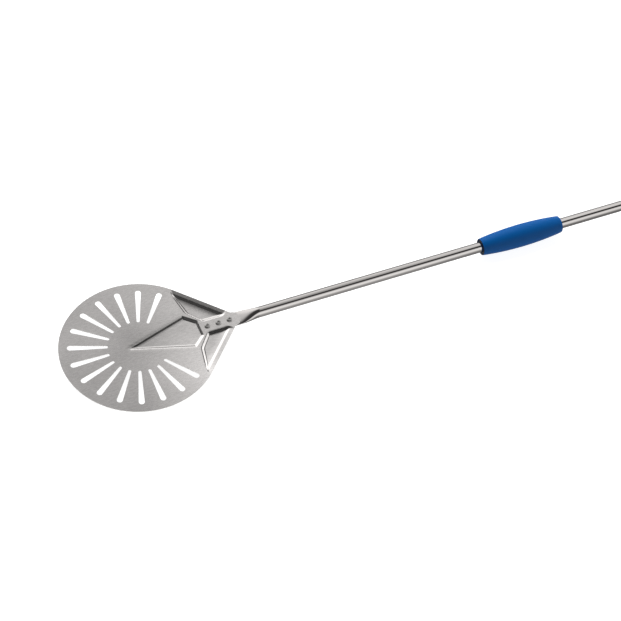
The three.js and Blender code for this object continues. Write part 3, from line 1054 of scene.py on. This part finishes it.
# Brightness of the studio that the steel mirrors, by angle about the X axis in degrees:
# 0 is level in front (-Y), 90 straight up, 180 level behind (+Y), -90 straight down.
STUDIO_END = (
    (-180, 1.20), (-150, 0.80), (-90, 0.45), (0, 0.90), (35, 0.45), (55, 0.10), (136, 0.08),
    (145, 0.80), (153, 1.15), (180, 1.20),
)
STUDIO_LEFT = (
    (-180, 1.20), (-150, 0.80), (-90, 0.35), (-30, 0.50), (-5, 0.95), (20, 1.08), (38, 0.60),
    (50, 0.14), (62, 0.04), (104, 0.05), (113, 0.12), (118, 0.36), (121, 0.56), (125, 0.78),
    (128, 0.98), (134, 1.08), (145, 1.15), (155, 1.20), (180, 1.20),
)
STUDIO_MIDDLE = (
    (-180, 0.22), (-90, 0.36), (-40, 0.34), (-18, 0.50), (0, 0.86), (14, 1.12), (34, 1.12),
    (46, 0.72), (57, 0.14), (65, 0.02), (77, 0.04), (90, 0.34), (104, 0.58), (118, 0.70),
    (125, 0.78), (138, 0.88), (148, 1.00), (160, 0.88), (168, 0.45), (175, 0.20), (180, 0.18),
)
STUDIO_RIGHT = (
    (-180, 0.22), (-90, 0.28), (-40, 0.16), (-18, 0.30), (0, 0.70), (16, 1.00), (36, 1.10),
    (48, 0.78), (58, 0.16), (66, 0.02), (82, 0.03), (94, 0.58), (106, 1.05), (120, 1.05),
    (134, 0.84), (148, 0.98), (162, 0.85), (170, 0.40), (176, 0.14), (180, 0.14),
)
STUDIO_FAR_RIGHT = (
    (-180, 1.30), (-120, 0.50), (-30, 0.50), (15, 1.00), (38, 0.45), (50, 0.12), (62, 0.04),
    (110, 0.05), (120, 0.10), (142, 0.12), (152, 0.80), (165, 1.30), (180, 1.40),
)
STUDIO_HAND_END = (
    (-180, 1.40), (-120, 0.60), (-40, 0.60), (0, 1.10), (60, 1.20), (100, 1.35), (140, 1.55),
    (180, 1.50),
)
# Which table holds at which X part of a direction. Between two places they are blended.
STUDIO = (
    (-0.33, STUDIO_END),
    (-0.26, STUDIO_LEFT),
    (0.20, STUDIO_LEFT),
    (0.255, STUDIO_MIDDLE),
    (0.32, STUDIO_MIDDLE),
    (0.39, STUDIO_RIGHT),
    (0.45, STUDIO_RIGHT),
    (0.49, STUDIO_FAR_RIGHT),
    (0.64, STUDIO_FAR_RIGHT),
    (0.71, STUDIO_HAND_END),
)
STUDIO_PEAK = 2.0                       # ramps hold 0 to 1, so brightness is divided by this
STUDIO_TINT = (1, 0.985, 0.975)

LIGHT_PLACE = (0.5, 2.0, 2.4)
LIGHT_TILT = math.radians(-40)
LIGHT_SIZE = (3.0, 2.0)
LIGHT_WATTS = 170


def studio_ramp(n, turn, table):
    """The colour of a studio table at a share of the full turn about the X axis."""
    ramp = n.add("ShaderNodeValToRGB", {"Fac": turn})
    stops = ramp.color_ramp.elements
    stops.remove(stops[1])
    for degrees, level in table:
        place = (degrees + 180) / 360
        stop = stops.new(place) if place else stops[0]
        stop.color = (*(level / STUDIO_PEAK * part for part in STUDIO_TINT), 1)
    return ramp.outputs["Color"]


def make_world():
    """The studio round the peel: tables of brightness, blended across by the X part."""
    world = bpy.data.worlds.new("studio")
    world.use_nodes = True
    bpy.context.scene.world = world
    n = Nodes(world.node_tree)
    across, behind, up = n.parts(n.add("ShaderNodeTexCoord").outputs["Generated"])
    angle = n.math("ARCTAN2", up, n.math("MULTIPLY", behind, -1.0))
    turn = n.between(angle, 0, 1, (-math.pi, math.pi))
    (before, table), *others = STUDIO
    colour = studio_ramp(n, turn, table)
    for place, table in others:
        blend = n.between(across, 0, 1, (before, place))
        colour = n.mix(blend, colour, studio_ramp(n, turn, table))
        before = place
    background = n.tree.nodes["Background"]
    background.inputs["Strength"].default_value = STUDIO_PEAK
    n.tree.links.new(colour, background.inputs["Color"])


def make_light():
    """A wide soft light above and behind for the plastic; the steel doesn't mirror it."""
    data = bpy.data.lights.new("overhead", "AREA")
    data.shape = "RECTANGLE"
    data.size, data.size_y = LIGHT_SIZE
    data.energy = LIGHT_WATTS
    light = bpy.data.objects.new("overhead", data)
    light.location = LIGHT_PLACE
    light.rotation_euler = (LIGHT_TILT, 0, 0)
    light.visible_glossy = False
    bpy.context.scene.collection.objects.link(light)


make_camera()
make_peel()
make_floor()
make_backdrop()
make_world()
make_light()
bpy.context.scene.view_settings.view_transform = "Standard"
